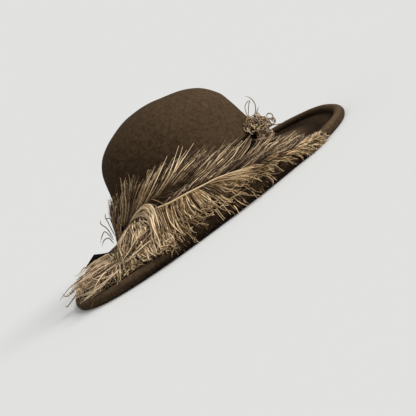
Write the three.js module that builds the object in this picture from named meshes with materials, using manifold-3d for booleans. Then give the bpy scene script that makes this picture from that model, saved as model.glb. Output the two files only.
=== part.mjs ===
// A wide-brim felt hat with a ribbon band and ostrich plumes, standing on its brim.
// Millimetres, +Z up, +X to the hat's front, +Y to the wearer's left.

import * as THREE from 'three';
import Module from 'manifold-3d';

const wasm = await Module();
wasm.setup();

// Felt
const feltThickness = 2.6;
const crownCentreX = 4;
const crownWidthRatio = 0.84;
const brimHalfLength = 176.5;
const brimHalfWidth = 157;
const brimSquareness = 2.5;
const brimDish = 2.2;
const sideLift = 3;
const flatSine = 0.45;

// Rolled edge of the brim
const edgeWidth = 11;
const edgeHeight = 11;
const edgeDrop = 1.5;
const edgeFlatWidth = 3.4;
const edgeLap = 0.1;
const edgeJoinHeight = 2.5;
const edgeHeelHeight = 0.9;
const edgeHeelShare = 0.75;
const edgeDegrees = [185, 150, 115, 80, 45, 12, -22, -50];

// Dent along the crown's top, the low place across it and the pinch at the front of its sides
const dentDepth = 9;
const dentBackX = -4;
const dentFrontX = 48;
const dentWidth = 12;
const dentLowest = 86;
const dentHighest = 108;
const dipDepth = 1;
const dipX = 23;
const dipHalfLength = 14;
const pinchDepth = 1.5;
const pinchAngle = 0.9;
const pinchHalfAngle = 0.35;
const pinchHeight = 84;
const pinchHalfHeight = 24;

// Ribbon
const ribbonThickness = 1;
const ribbonBottom = 17;
const ribbonTop = 42;
const ribbonClearance = 1.1;
const tailWidth = 26;

// Plumes
const rachisRadius = 2.4;
const rachisTipRadius = 1.1;
const lockThickness = 2.2;
const lockRootWidth = 5;
const lockWidest = 0.5;
const lockTaper = 0.72;
const lockThinning = 0.45;
const lockOffset = 0.3;
const gap = 0.35;

// Resolution
const columns = 48;
const crownRows = 14;
const brimRows = 5;
const lockSteps = 4;
const tailSteps = 6;
const rachisSteps = 9;
const rachisSides = 6;

// Half length of the crown's oval at each height, from the top down to where the brim begins
const crownProfile = table(['reach', 'height'], [
  [5, 129],
  [22, 128.2],
  [40, 123.4],
  [56, 116.6],
  [68, 108],
  [76.5, 96],
  [82, 78],
  [86.6, 56],
  [91, 37],
  [94.5, 23],
  [99.5, 15],
  [107, 11.6],
]);

// Middle line of the ribbon's cut end, and the direction across it at its start and end
const tailLine = table(['x', 'y', 'z'], [
  [-84.9, 37.8, 24],
  [-93, 42.6, 16],
  [-105, 49.5, 12],
  [-121, 58.5, 11],
  [-138, 68, 13.5],
  [-153, 76, 20],
]);
const tailStartAcross = new THREE.Vector3(0.52, 0.85, 0);
const tailEndAcross = new THREE.Vector3(0.5, 0.85, 0.15);

// Each plume has a rachis, and locks whose tips lie along a line beside it
const upperPlume = {
  name: 'plume_upper',
  rachis: table(['x', 'y', 'z'], [
    [-92, -29, 28],
    [-67, -56, 43],
    [-39, -73, 48],
    [-12, -81, 44],
    [18, -84, 33],
    [48, -80, 23],
    [73, -72, 18],
  ]),
  vanes: [{
    locks: 15,
    width: 9,
    bow: [-5, -2, 3],
    tips: table(['at', 'x', 'y', 'z'], [
      [0.0, -62, -52, 74],
      [0.17, -37, -67, 78],
      [0.3, -10, -76, 78],
      [0.45, 26, -77, 69],
      [0.58, 56, -70, 54],
      [0.72, 80, -66, 40],
      [1.0, 108, -56, 20],
    ]),
  }],
};

const lowerPlume = {
  name: 'plume_lower',
  rachis: table(['x', 'y', 'z'], [
    [-45, -80, 39],
    [-26, -89, 39],
    [3, -96, 33],
    [31, -98, 26],
    [58, -102, 20],
    [94, -115, 16],
    [124, -121, 14],
  ]),
  vanes: [
    {
      locks: 12,
      width: 12,
      bow: [2, -10, 8],
      tips: table(['at', 'x', 'y', 'z'], [
        [0.0, -46, -150, 17],
        [0.2, -30, -157, 15],
        [0.4, -6, -163, 10],
        [0.55, 20, -165, 7],
        [0.7, 54, -160, 9],
        [0.85, 92, -144, 14],
        [1.0, 128, -124, 15],
      ]),
    },
    {
      locks: 7,
      width: 12,
      bow: [0, 0, 4],
      tips: table(['at', 'x', 'y', 'z'], [
        [0.3, 22, -92, 38],
        [0.55, 72, -83, 30],
        [0.75, 106, -66, 22],
        [0.9, 124, -80, 17],
        [1.0, 138, -104, 13],
      ]),
    },
  ],
};

const archPlume = {
  name: 'plume_arch',
  rachis: table(['x', 'y', 'z'], [
    [-99, -25, 22],
    [-88, -56, 36],
    [-75, -71, 43],
    [-58, -84, 49],
    [-47, -93, 47],
    [-43, -99, 38],
  ]),
  vanes: [{
    locks: 9,
    width: 13,
    bow: [2, -12, 12],
    tips: table(['at', 'x', 'y', 'z'], [
      [0.0, -116, -108, 14],
      [0.25, -101, -112, 14],
      [0.5, -87, -133, 15],
      [0.75, -68, -142, 15],
      [1.0, -42, -153, 15],
    ]),
  }],
};

const tailPlume = {
  name: 'plume_tail',
  rachis: table(['x', 'y', 'z'], [
    [-103, -22, 19],
    [-124, -35, 23],
    [-147, -41, 20],
    [-166, -38, 17],
    [-181, -32, 13],
  ]),
  vanes: [
    {
      locks: 6,
      width: 10,
      bow: [4, 2, 5],
      tips: table(['at', 'x', 'y', 'z'], [
        [0.0, -130, -4, 27],
        [0.35, -152, -6, 25],
        [0.7, -176, -14, 19],
        [1.0, -192, -26, 14],
      ]),
    },
    {
      locks: 6,
      width: 11,
      bow: [8, -6, 6],
      tips: table(['at', 'x', 'y', 'z'], [
        [0.0, -122, -96, 14],
        [0.3, -140, -100, 13],
        [0.6, -158, -80, 13],
        [0.85, -177, -56, 10],
        [1.0, -190, -40, 8],
      ]),
    },
  ],
};

const tuftPlume = {
  name: 'plume_tuft',
  rachis: table(['x', 'y', 'z'], [
    [-101, -6, 21],
    [-97, -9, 38],
    [-90, -14, 54],
    [-81, -20, 66],
  ]),
  vanes: [
    {
      locks: 4,
      width: 7,
      bow: [-2, -5, 0],
      tips: table(['at', 'x', 'y', 'z'], [
        [0.0, -93, -34, 50],
        [1.0, -72, -36, 73],
      ]),
    },
    {
      locks: 4,
      width: 7,
      bow: [-4, 4, 0],
      tips: table(['at', 'x', 'y', 'z'], [
        [0.0, -102, 14, 48],
        [1.0, -82, 2, 74],
      ]),
    },
  ],
};

const curlPlume = {
  name: 'plume_curl',
  rachis: table(['x', 'y', 'z'], [
    [97, -48, 19],
    [96, -47, 31],
    [93, -43, 43],
    [90, -39, 53],
  ]),
  vanes: [
    {
      locks: 5,
      width: 8,
      bow: [-5, -8, 4],
      tips: table(['at', 'x', 'y', 'z'], [
        [0.1, 78, -64, 31],
        [0.6, 77, -53, 50],
        [1.0, 86, -42, 62],
      ]),
    },
    {
      locks: 6,
      width: 8,
      bow: [4, 6, 6],
      tips: table(['at', 'x', 'y', 'z'], [
        [0.0, 117, -48, 19],
        [0.4, 113, -38, 32],
        [0.8, 106, -29, 47],
        [1.0, 96, -28, 61],
      ]),
    },
  ],
};

// Colours
const feltColour = 0x5a4a38;
const ribbonColour = 0x14120f;
const plumeColour = 0x8a7256;
const feltRoughness = 0.95;
const ribbonRoughness = 0.6;
const plumeRoughness = 0.8;

// Rows of numbers as objects with named columns
function table(names, rows) {
  return rows.map((row) => Object.fromEntries(names.map((name, i) => [name, row[i]])));
}

function smoothStep(low, high, value) {
  return THREE.MathUtils.smoothstep(value, low, high);
}

// A point of an oval, where a squareness of 2 is an ellipse
function ovalPoint(angle, centreX, halfLength, halfWidth, squareness) {
  const c = Math.cos(angle);
  const s = Math.sin(angle);
  const sum = Math.abs(c) ** squareness + Math.abs(s) ** squareness;
  const reach = sum ** (-1 / squareness);
  return new THREE.Vector2(centreX + halfLength * c * reach, halfWidth * s * reach);
}

// A smooth curve through the points of a table
function curveThrough(rows) {
  const points = rows.map((row) => new THREE.Vector3(row.x, row.y, row.z));
  return new THREE.CatmullRomCurve3(points, false, 'centripetal');
}

// The crown's profile as points with the half length in x and the height in y
function profilePoints() {
  const spline = new THREE.SplineCurve(crownProfile.map((row) => new THREE.Vector2(row.reach, row.height)));
  return spline.getSpacedPoints(crownRows);
}

// How far the dent lowers the crown's top
function dentAt(x, y, height) {
  const forward = x - crownCentreX;
  const share = smoothStep(dentBackX, dentFrontX, forward);
  const hollow = share * dentDepth * Math.exp(-((y / dentWidth) ** 2));
  const dip = dipDepth * Math.exp(-(((forward - dipX) / dipHalfLength) ** 2));
  return smoothStep(dentLowest, dentHighest, height) * (hollow + dip);
}

// How far the front of each side is pinched in
function pinchAt(angle, height) {
  const side = Math.abs(Math.atan2(Math.sin(angle), Math.cos(angle)));
  const around = Math.exp(-(((side - pinchAngle) / pinchHalfAngle) ** 2));
  return pinchDepth * around * Math.exp(-(((height - pinchHeight) / pinchHalfHeight) ** 2));
}

function crownPoint(angle, reach, height) {
  const halfWidth = reach * crownWidthRatio;
  const inward = pinchAt(angle, height) / reach;
  const flat = ovalPoint(angle, 0, reach * (1 - inward), halfWidth * (1 - inward), 2);
  const x = crownCentreX + flat.x;
  return new THREE.Vector3(x, flat.y, height - dentAt(x, flat.y, height));
}

// The brim's rim lies on the floor at its front and back and lifts at the sides
function liftAt(angle) {
  return sideLift * smoothStep(flatSine, 1, Math.abs(Math.sin(angle)));
}

function rimLine(angle, inset) {
  return ovalPoint(angle, 0, brimHalfLength - inset, brimHalfWidth - inset, brimSquareness);
}

// The brim's upper surface, from the crown's foot at share 0 to the rolled edge at share 1
function brimPoint(angle, share) {
  const foot = crownProfile.at(-1);
  const inner = ovalPoint(angle, crownCentreX, foot.reach, foot.reach * crownWidthRatio, 2);
  const outer = rimLine(angle, edgeWidth - edgeLap);
  const flat = inner.clone().lerp(outer, share);
  const edge = edgeJoinHeight + liftAt(angle);
  const height = THREE.MathUtils.lerp(foot.height, edge, share) - brimDish * Math.sin(Math.PI * share);
  return new THREE.Vector3(flat.x, flat.y, height);
}

function columnAngles() {
  return Array.from({ length: columns }, (_, i) => (2 * Math.PI * i) / columns);
}

// Rows of the felt's upper surface, from the middle of the crown out to the rolled edge
function upperRows() {
  const angles = columnAngles();
  const rows = profilePoints().map((p) => angles.map((angle) => crownPoint(angle, p.x, p.y)));
  for (let i = 1; i <= brimRows; i += 1) {
    rows.push(angles.map((angle) => brimPoint(angle, i / brimRows)));
  }
  return rows;
}

// Unit normals of a grid of rows, pointing out of the crown and up from the brim
function rowNormals(rows) {
  return rows.map((row, i) => row.map((_, j) => {
    const before = rows[Math.max(i - 1, 0)][j];
    const after = rows[Math.min(i + 1, rows.length - 1)][j];
    const left = row[(j + columns - 1) % columns];
    const right = row[(j + 1) % columns];
    const outward = after.clone().sub(before);
    const around = right.clone().sub(left);
    return outward.cross(around).normalize();
  }));
}

function offsetRows(rows, normals, distance) {
  return rows.map((row, i) => row.map((p, j) => p.clone().addScaledVector(normals[i][j], distance)));
}

// Rows of the rolled edge, over the top, down the outside and back along the flat underside
function edgeRows(grow) {
  const halfWidth = edgeWidth / 2;
  const halfHeight = edgeHeight / 2;
  const middle = halfHeight - edgeDrop;
  const underside = -edgeDrop - grow;
  const section = edgeDegrees.map((d) => {
    const turn = THREE.MathUtils.degToRad(d);
    return new THREE.Vector2(
      (halfWidth + grow) * Math.cos(turn),
      middle + (halfHeight + grow) * Math.sin(turn),
    );
  });
  section.push(new THREE.Vector2(edgeFlatWidth / 2, underside));
  section.push(new THREE.Vector2(-edgeFlatWidth / 2, underside));
  section.push(new THREE.Vector2(-halfWidth * edgeHeelShare - grow, underside + edgeHeelHeight));
  return section.map((p) => columnAngles().map((angle) => {
    const flat = rimLine(angle, halfWidth - p.x);
    return new THREE.Vector3(flat.x, flat.y, p.y + liftAt(angle));
  }));
}

// A closed solid through rings of equal length, capped at both ends or joined in a loop
function loft(rings, loop = false) {
  const count = rings[0].length;
  const points = rings.flat();
  const faces = [];
  const spans = loop ? rings.length : rings.length - 1;
  for (let i = 0; i < spans; i += 1) {
    const a = i * count;
    const b = ((i + 1) % rings.length) * count;
    for (let j = 0; j < count; j += 1) {
      const k = (j + 1) % count;
      faces.push([a + j, a + k, b + k], [a + j, b + k, b + j]);
    }
  }
  if (!loop) {
    const last = (rings.length - 1) * count;
    const start = points.push(centreOf(rings[0])) - 1;
    const end = points.push(centreOf(rings.at(-1))) - 1;
    for (let j = 0; j < count; j += 1) {
      const k = (j + 1) % count;
      faces.push([start, k, j], [end, last + j, last + k]);
    }
  }
  return solidFrom(points, faces);
}

function centreOf(ring) {
  const centre = new THREE.Vector3();
  ring.forEach((p) => centre.add(p));
  return centre.divideScalar(ring.length);
}

// A solid from points and faces, turned so that its faces point out
function solidFrom(points, faces) {
  const edge = new THREE.Vector3();
  const volume = faces.reduce((sum, [a, b, c]) => (
    sum + points[a].dot(edge.crossVectors(points[b], points[c]))), 0);
  const outward = volume > 0 ? faces : faces.map(([a, b, c]) => [a, c, b]);
  return new wasm.Manifold(new wasm.Mesh({
    numProp: 3,
    vertProperties: new Float32Array(points.flatMap((p) => p.toArray())),
    triVerts: new Uint32Array(outward.flat()),
  }));
}

function feltSolid(grow = 0) {
  const upper = upperRows();
  const normals = rowNormals(upper);
  const top = offsetRows(upper, normals, grow);
  const under = offsetRows(upper, normals, -feltThickness).reverse();
  return loft([...top, ...edgeRows(grow), ...under]);
}

// The ribbon round the crown's foot
function bandSolid(grow = 0) {
  const profile = profilePoints();
  const reachAt = (height) => {
    const i = profile.findIndex((p) => p.y <= height);
    const above = profile[i - 1];
    const below = profile[i];
    return THREE.MathUtils.mapLinear(height, above.y, below.y, above.x, below.x);
  };
  const levels = [ribbonTop, (ribbonTop + ribbonBottom) / 2, ribbonBottom];
  const clearance = ribbonClearance - grow;
  const wall = (height, offset) => (angle) => {
    const reach = reachAt(height);
    const flat = ovalPoint(angle, crownCentreX, reach + offset, reach * crownWidthRatio + offset, 2);
    return new THREE.Vector3(flat.x, flat.y, height);
  };
  const inner = levels.map((height) => wall(height, clearance));
  const outer = levels.toReversed().map((height) => wall(height, clearance + ribbonThickness + 2 * grow));
  const section = [...inner, ...outer];
  return loft(columnAngles().map((angle) => section.map((at) => at(angle))), true);
}

// The ribbon's cut end, which stands off the back of the crown over the brim
function ribbonTailSolid() {
  const curve = curveThrough(tailLine);
  const rings = curve.getPoints(tailSteps).map((p, i) => {
    const share = i / tailSteps;
    const across = tailStartAcross.clone().lerp(tailEndAcross, share);
    return stripRing(p, curve.getTangent(share), across, tailWidth, ribbonThickness);
  });
  return loft(rings);
}

// Four corners of a thin section, its width along one direction
function stripRing(centre, tangent, across, width, thickness) {
  const side = across.clone().addScaledVector(tangent, -across.dot(tangent)).normalize();
  const normal = tangent.clone().cross(side).normalize();
  return [[1, 0], [0, 1], [-1, 0], [0, -1]].map(([u, v]) => (
    centre.clone().addScaledVector(side, (u * width) / 2).addScaledVector(normal, (v * thickness) / 2)));
}

function rachisSolid(curve, grow) {
  const rings = [];
  for (let i = 0; i <= rachisSteps; i += 1) {
    const t = i / rachisSteps;
    const centre = curve.getPoint(t);
    const tangent = curve.getTangent(t);
    const side = new THREE.Vector3(0, 0, 1).cross(tangent).normalize();
    const normal = tangent.clone().cross(side);
    const radius = THREE.MathUtils.lerp(rachisRadius, rachisTipRadius, t) + grow;
    rings.push(Array.from({ length: rachisSides }, (_, k) => {
      const turn = (2 * Math.PI * k) / rachisSides;
      return centre.clone()
        .addScaledVector(side, radius * Math.cos(turn))
        .addScaledVector(normal, radius * Math.sin(turn));
    }));
  }
  return loft(rings);
}

// The place on a vane's tip line beside a place on its rachis
function tipAt(tips, at) {
  const next = Math.max(1, tips.findIndex((row) => row.at >= at));
  const a = tips[next - 1];
  const b = tips[next];
  const share = (at - a.at) / (b.at - a.at);
  const start = new THREE.Vector3(a.x, a.y, a.z);
  return start.lerp(new THREE.Vector3(b.x, b.y, b.z), share);
}

// A tapered lock of barbs, from the rachis over its bow to its tip
function lockSolid(curve, vane, at, grow) {
  const root = curve.getPoint(at);
  const tip = tipAt(vane.tips, at);
  const bow = new THREE.Vector3(...vane.bow);
  const control = root.clone().lerp(tip, 0.5).addScaledVector(bow, 2);
  const path = new THREE.QuadraticBezierCurve3(root, control, tip);
  const across = curve.getTangent(at);
  const rings = [];
  for (let i = 0; i <= lockSteps; i += 1) {
    const t = i / lockSteps;
    const full = THREE.MathUtils.lerp(lockRootWidth, vane.width, Math.min(1, t / lockWidest));
    const width = full * (1 - lockTaper * t ** 3) + 2 * grow;
    const thickness = lockThickness * (1 - lockThinning * t) + 2 * grow;
    rings.push(stripRing(path.getPoint(t), path.getTangent(t), across, width, thickness));
  }
  return loft(rings);
}

function plumeSolid(plume, grow = 0) {
  const curve = curveThrough(plume.rachis);
  let body = rachisSolid(curve, grow);
  for (const vane of plume.vanes) {
    const first = vane.tips[0].at;
    for (let i = 0; i < vane.locks; i += 1) {
      const at = THREE.MathUtils.lerp(first, 1, (i + lockOffset) / vane.locks);
      body = body.add(lockSolid(curve, vane, at, grow));
    }
  }
  return body;
}

// The largest piece of a solid, so that cut-off slivers are left out
function largestPiece(solid) {
  const pieces = solid.decompose();
  return pieces.reduce((best, piece) => (piece.volume() > best.volume() ? piece : best));
}

function meshOf(name, solid, colour, roughness) {
  const mesh = solid.getMesh();
  const geometry = new THREE.BufferGeometry();
  geometry.setAttribute('position', new THREE.BufferAttribute(new Float32Array(mesh.vertProperties), 3));
  geometry.setIndex(new THREE.BufferAttribute(new Uint32Array(mesh.triVerts), 1));
  const material = new THREE.MeshStandardMaterial({ color: colour, roughness, metalness: 0 });
  const result = new THREE.Mesh(geometry, material);
  result.name = name;
  return result;
}

// The hat, with each plume cut clear of what it lies on
function hat() {
  const group = new THREE.Group();
  group.add(meshOf('felt_body', feltSolid(), feltColour, feltRoughness));
  group.add(meshOf('hatband', bandSolid(), ribbonColour, ribbonRoughness));
  group.add(meshOf('ribbon_tail', ribbonTailSolid(), ribbonColour, ribbonRoughness));

  let taken = feltSolid(gap).add(bandSolid(gap));
  for (const plume of [upperPlume, lowerPlume, archPlume, tailPlume, tuftPlume, curlPlume]) {
    const body = largestPiece(plumeSolid(plume).subtract(taken));
    group.add(meshOf(plume.name, body, plumeColour, plumeRoughness));
    taken = taken.add(plumeSolid(plume, gap));
  }

  const box = new THREE.Box3().setFromObject(group);
  group.position.set(-(box.min.x + box.max.x) / 2, -(box.min.y + box.max.y) / 2, -box.min.z);
  return group;
}

export default hat();
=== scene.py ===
"""Looks of a wide-brim felt hat with a ribbon band and ostrich plumes, in its CAD frame.

Lengths are in millimetres in the hat's own frame, until place() puts them in the row frame.
"""

import math
from collections import namedtuple

import bpy
import numpy as np
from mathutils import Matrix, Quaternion, Vector


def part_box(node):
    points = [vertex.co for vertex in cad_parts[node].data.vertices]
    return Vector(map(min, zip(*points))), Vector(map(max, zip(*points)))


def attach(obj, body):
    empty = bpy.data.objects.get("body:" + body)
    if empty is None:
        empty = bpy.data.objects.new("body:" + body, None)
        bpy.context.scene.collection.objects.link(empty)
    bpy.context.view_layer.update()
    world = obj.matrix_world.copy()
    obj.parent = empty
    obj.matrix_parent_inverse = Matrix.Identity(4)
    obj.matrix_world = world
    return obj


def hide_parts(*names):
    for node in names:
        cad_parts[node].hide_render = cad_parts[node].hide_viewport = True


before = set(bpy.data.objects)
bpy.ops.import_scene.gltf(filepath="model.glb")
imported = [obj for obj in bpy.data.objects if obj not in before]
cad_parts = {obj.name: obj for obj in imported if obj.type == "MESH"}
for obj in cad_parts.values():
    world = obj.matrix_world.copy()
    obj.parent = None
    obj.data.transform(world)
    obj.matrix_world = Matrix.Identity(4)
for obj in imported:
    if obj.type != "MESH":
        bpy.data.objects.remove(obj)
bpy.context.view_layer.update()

MILLIMETRE = 0.001

# Felt, as in the part; the turns of the rolled edge are in degrees
FELT_THICKNESS = 2.6
CROWN_CENTRE_X = 4
CROWN_WIDTH_RATIO = 0.84
BRIM_HALF_LENGTH = 176.5
BRIM_HALF_WIDTH = 157
BRIM_SQUARENESS = 2.5
ELLIPSE = 2
BRIM_DISH = 2.2
SIDE_LIFT = 3
FLAT_SINE = 0.45
EDGE_WIDTH = 11
EDGE_HEIGHT = 11
EDGE_DROP = 1.5
EDGE_FLAT_WIDTH = 3.4
EDGE_LAP = 0.1
EDGE_JOIN_HEIGHT = 2.5
EDGE_HEEL_HEIGHT = 0.9
EDGE_HEEL_SHARE = 0.75
EDGE_TURNS = (185, -62)
DENT_DEPTH = 9
DENT_BACK_X = -4
DENT_FRONT_X = 48
DENT_WIDTH = 12
DENT_LOWEST = 86
DENT_HIGHEST = 108
DIP_DEPTH = 1
DIP_X = 23
DIP_HALF_LENGTH = 14
PINCH_DEPTH = 1.5
PINCH_ANGLE = 0.9
PINCH_HALF_ANGLE = 0.35
PINCH_HEIGHT = 84
PINCH_HALF_HEIGHT = 24
PINCH_LEAST_REACH = 5

# The crown's outside, as half length and height
CROWN_PROFILE = np.array([
    (0.4, 129),
    (5, 129),
    (22, 128.2),
    (40, 123.4),
    (56, 116.6),
    (68, 108),
    (76.5, 96),
    (82, 78),
    (86.6, 56),
    (91, 37),
    (94.5, 23),
    (99.5, 15),
    (107, 11.6),
])

# Where light and shade are painted on the felt, as places between which a share grows from 0 to 1
CROWN_Z = (12, 40)
HIGH_Z = (60, 128)
AHEAD_X = (-60, 80)
ROLL_Z = (3, 9)
FROM_RIM = (6, 1)
ENDS_X = (40, 130)
FRONT_TIP_X = (135, 165)
SHADED_BACK_X = (-100, -20)
SHADED_FRONT_X = (140, 100)
SHADED_Y = (-60, -110)

# How much painted light the felt has there, from 0 to 1; where it has none, its darkest colour is painted
# shade
CROWN_PAINTED_LIGHT = 0.25
HIGH_PAINTED_LIGHT = 0.16
AHEAD_PAINTED_LIGHT = 0.27
AHEAD_LESS_HIGH = 0.08
ROLL_PAINTED_LIGHT = 0.72
OUTSIDE_SHARE = 0.55
SHADED_LOSS = 0.8
FRONT_TIP_PAINTED_LIGHT = 0.3

# Ribbon
RIBBON_THICKNESS = 1.0
RIBBON_BOTTOM = 17
RIBBON_TOP = 42
RIBBON_CLEARANCE = 1.1
BAND_MARGIN = 3
BAND_RIBS = 340
BAND_RIB_DEPTH = 0.16
TAIL_WIDTH = 26
TAIL_RIB_DEPTH = 0.12
TAIL_LINE = np.array([
    (-84.9, 37.8, 24),
    (-93, 42.6, 16),
    (-105, 49.5, 12),
    (-121, 58.5, 11),
    (-138, 68, 13.5),
    (-153, 76, 20),
])
TAIL_START_ACROSS = np.array((0.52, 0.85, 0))
TAIL_END_ACROSS = np.array((0.5, 0.85, 0.15))

# Resolution
CURVE_SAMPLES = 400
PROFILE_SAMPLES = 200
FELT_COLUMNS = 240
CROWN_ROWS = 72
BRIM_ROWS = 22
EDGE_ROWS = 26
EDGE_FLAT_ROWS = 3
BAND_ROWS = 12
TAIL_STEPS = 60
TAIL_COLUMNS = 9
SHAFT_STEPS = 60
STRAND_STEPS = 20
FIBRE_STEPS = 11
WISP_STEPS = 30
SHAFT_SIDES = 8
STRAND_SIDES = 5
FIBRE_SIDES = 3

# Directions: away from the crown on the plumes' side, to that side, and one that no barb starts along
OUTWARD = np.array((0.1, -0.8, 0.6))
TOWARDS_SIDE = np.array((0, -1, 0))
ACROSS_BARBS = (0.31, 0.17, 0.93)

# Lowest place of a barb, just above the floor, and clearances from the felt
LOWEST = -1
BARB_CLEARANCE = 0.7
WISP_CLEARANCE = 0.6

# How barbs vary, as ranges and standard deviations
GATHER_RANGE = (0.5, 1.1)
LEAD_RANGE = (0.6, 1.4)
TURN_RANGE = (0.2, 1.5)
RADIUS_RANGE = (0.7, 1.15)
WAVE_CYCLES = (1, 3)
WAVE_STRAY = 0.7
AXIS_STRAY = 0.25
TONE_STRAY = 0.15

# A barb's form: the top layer stands out most, and a middle follows half of what moves its tip
LAYER_DEPTH = 2.5
LAYER_CLEARANCE = 2
MIDDLE_SHARE = 0.5
HEADING_STEP = 0.02
CURL_POWER = 2.5
ROOT_RADIUS = 0.55
SWELL_RADIUS = 0.45
SWELL_END = 0.2
TAPER_RADIUS = 0.7
TAPER_START = 0.65
FIBRE_RADIUS = 0.45
SHAFT_END_RADIUS = 0.4

# What is added to a vane's tone: painted shade on its fibres and its under layer, painted light on its top
# layer, then darker roots and paler tips
STRAND_TONE = 0.08
FIBRE_PAINTED_SHADE = -0.25
TOP_LAYER = 0.6
TOP_LAYER_PAINTED_LIGHT = 0.14
UNDER_LAYER_PAINTED_SHADE = -0.3
ROOT_TONE = -0.2
TIP_TONE = 0.35

# Shafts, wisps, quills and loops
SHAFT_TONE = 0.35
SHAFT_WARMTH = 0.5
WISP_RADII = (0.4, 0.6)
WISP_TONE = 0.55
WISP_WARMTH = 0.4
QUILL_RADII = (1.1, 0.5)
QUILL_TONE = 1
LOOP_RADII = (1.8, 4.5)
LOOP_WINDING = (1.2, 0.7)
LOOP_TURNS = (0.5, 0.95)
LOOP_STRAY = 2.5
LOOP_AXIS_STRAY = 0.5
LOOP_TONES = (0.35, 0.95)
LOOP_TUBE_RADII = (0.4, 0.7)

# Colours in linear light, from dark to pale, and tints from grey to golden, each after its place
FELT_COLOURS = [
    (0.0, (0.013, 0.0075, 0.004)), (0.35, (0.050, 0.031, 0.017)),
    (0.7, (0.098, 0.063, 0.036)), (1.0, (0.16, 0.108, 0.064)),
]
FELT_SHEEN = (0.75, 0.55, 0.35, 1)
FELT_MOTTLE = 0.7
RIBBON_COLOURS = [(0.3, (0.004, 0.0028, 0.002)), (0.7, (0.01, 0.0075, 0.0055))]
BARB_COLOURS = [
    (0.0, (0.016, 0.008, 0.004)), (0.3, (0.08, 0.045, 0.021)),
    (0.6, (0.33, 0.212, 0.106)), (1.0, (0.92, 0.70, 0.44)),
]
BARB_TINTS = [(0.0, (0.95, 0.97, 1.15)), (0.5, (1, 1, 1)), (1.0, (1.08, 1.0, 0.78))]
BARB_MOTTLE = 0.5
FLOOR_COLOUR = (0.9, 0.9, 0.89, 1)

# Light
SUN_STRENGTH = 2.45
SUN_SPREAD = math.radians(40)
SUN_DIRECTION = Vector((0.8, -0.3, 0.55))
ROOM_COLOUR = (1, 1, 0.984, 1)
ROOM_STRENGTH = 0.42
ROOM_SEEN_MORE = 0.337
FLOOR_HALF_WIDTH = 20000

# Camera, at the photograph's angle; pixels are those of its 416 by 416 image
IMAGE_SIZE = 416
VIEW_DISTANCE = 900
VIEW_WIDTH = 457.6
VIEW_ELEVATION = math.radians(8.2)
VIEW_ROLL = math.radians(-36.8)
TARGET_HEIGHT = 4
TARGET_PIXEL = (206.4, 202.0)
SENSOR_WIDTH = 36

# Columns of a vane, a row of barbs. Lead and tone are one number, or a pair for its two ends.
Vane = namedtuple("Vane", (
    "guides",  # barbs that the others follow
    "strands",  # count of thick barbs
    "fibres",  # count of thin barbs between and under them
    "locks",  # count of locks that barbs gather in
    "gather",  # how far they do, from 0 to 1
    "drift",  # how far locks wander
    "stray",  # how far single barbs wander
    "curl",  # how far their turns of curl vary
    "reach",  # least and greatest length, as shares of the guides' length
    "lead",  # share of its length over which a barb first follows the rachis
    "size",  # radius of a strand
    "tone",  # from 0, dark, to 1, pale
    "warmth",  # from 0, grey, to 1, golden
    "roots",  # line of the roots, where it isn't the rachis
), defaults=[None])

# Columns of a guide, a barb that those on both sides of it follow: place along the roots from 0 to 1,
# middle x, y, z, tip x, y, z, and turns of curl.

# Upper plume: barbs swept up and forward over the crown's side
UPPER_CREST = [
    (0.00, -84, -27, 53, -62, -42, 75, 0.02),
    (0.04, -71, -48, 59, -54, -51, 81, 0.02),
    (0.11, -63, -57, 62, -48, -55, 84, 0.02),
    (0.16, -57, -62, 64, -40, -60, 80, 0.02),
    (0.21, -50, -68, 61, -31, -66, 71, 0),
    (0.28, -40, -73, 62, -16, -70, 76, 0),
    (0.34, -28, -78, 63, -2, -72, 74, 0),
    (0.40, -13, -83, 59, 15, -72, 70, 0),
    (0.47, 0, -84, 56, 32, -70, 62, 0),
    (0.55, 12, -86, 50, 41, -70, 53, 0),
    (0.61, 22, -85, 46, 54, -64, 49, 0.02),
    (0.67, 33, -84, 40, 64, -62, 40, 0.03),
    (0.73, 62, -80, 28, 90, -62, 32, 0.02),
    (0.80, 72, -80, 24, 99, -64, 24, 0.02),
    (0.87, 82, -84, 20, 108, -68, 16, 0.02),
    (0.93, 91, -88, 17, 115, -76, 12, 0.03),
    (1.00, 97, -94, 14, 121, -86, 9, 0.04),
]

# Upper plume: dark barbs low down, between the two plumes
UPPER_FOOT = [
    (0.10, -72, -54, 38, -52, -70, 38, 0),
    (0.28, -51, -68, 43, -30, -79, 39, 0),
    (0.47, -10, -82, 40, 11, -86, 33, 0),
    (0.71, 37, -82, 27, 57, -80, 21, 0),
    (0.92, 68, -76, 17, 88, -80, 14, 0),
]
UPPER_VANES = [
    (UPPER_CREST, 330, 300, 110, 0.15, 1.2, 1.05, 0.02, (0.74, 1.0), 0.1, 0.56, (0.5, 0.56), 0.5),
    (UPPER_FOOT, 120, 260, 40, 0.3, 2.0, 1.6, 0.05, (0.7, 1.2), 0, 0.5, (0.32, 0.36), 0.4),
]

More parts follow.
